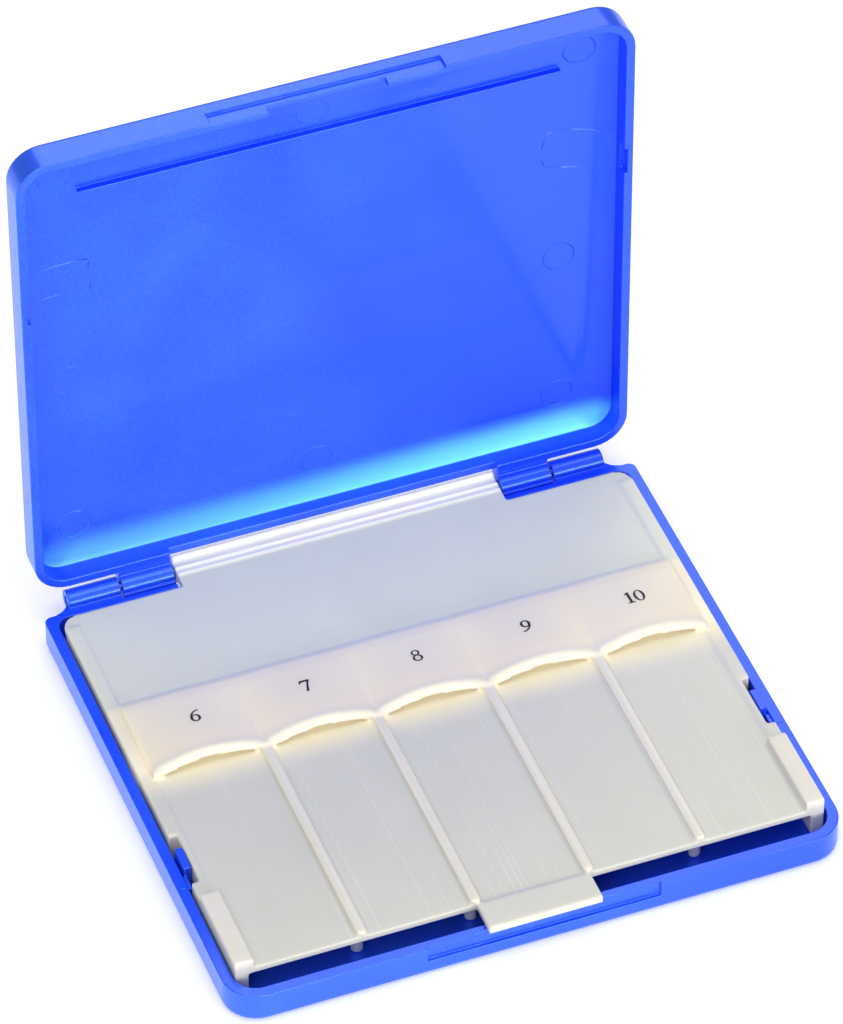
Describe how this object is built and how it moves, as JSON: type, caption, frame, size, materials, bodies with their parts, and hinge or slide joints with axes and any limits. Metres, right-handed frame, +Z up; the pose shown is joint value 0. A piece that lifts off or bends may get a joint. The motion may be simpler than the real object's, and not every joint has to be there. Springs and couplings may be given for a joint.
{
  "type": "hinged needle case",
  "caption": "Flat hinged needle case: a shallow base and lid on a pin hinge, with a divided tray whose vaulted roofs hold sewing needles by size.",
  "frame": {"origin": "middle of the flat underside of the base shell", "axes": "+X along the width, +Y from the thumb tab at the front to the hinge at the back, +Z up"},
  "size_m": [0.09, 0.0871, 0.0863],
  "materials": {
    "case_blue": "satin metallic blue moulded plastic",
    "tray_natural": "natural milky polypropylene",
    "pin_steel": "plain steel wire",
    "numeral_ink": "dark brown pad-printed ink"
  },
  "bodies": {
    "base": {"base_shell": "case_blue", "needle_tray": "tray_natural", "hinge_pin_left": "pin_steel", "hinge_pin_right": "pin_steel"},
    "lid": {"lid_shell": "case_blue"}
  },
  "joints": [
    {"name": "lid_hinge", "type": "hinge", "parent": "base", "child": "lid", "pos_m": [0, 0.0418, 0.005], "axis": [1, 0, 0], "range_deg": [0, 90]}
  ]
}
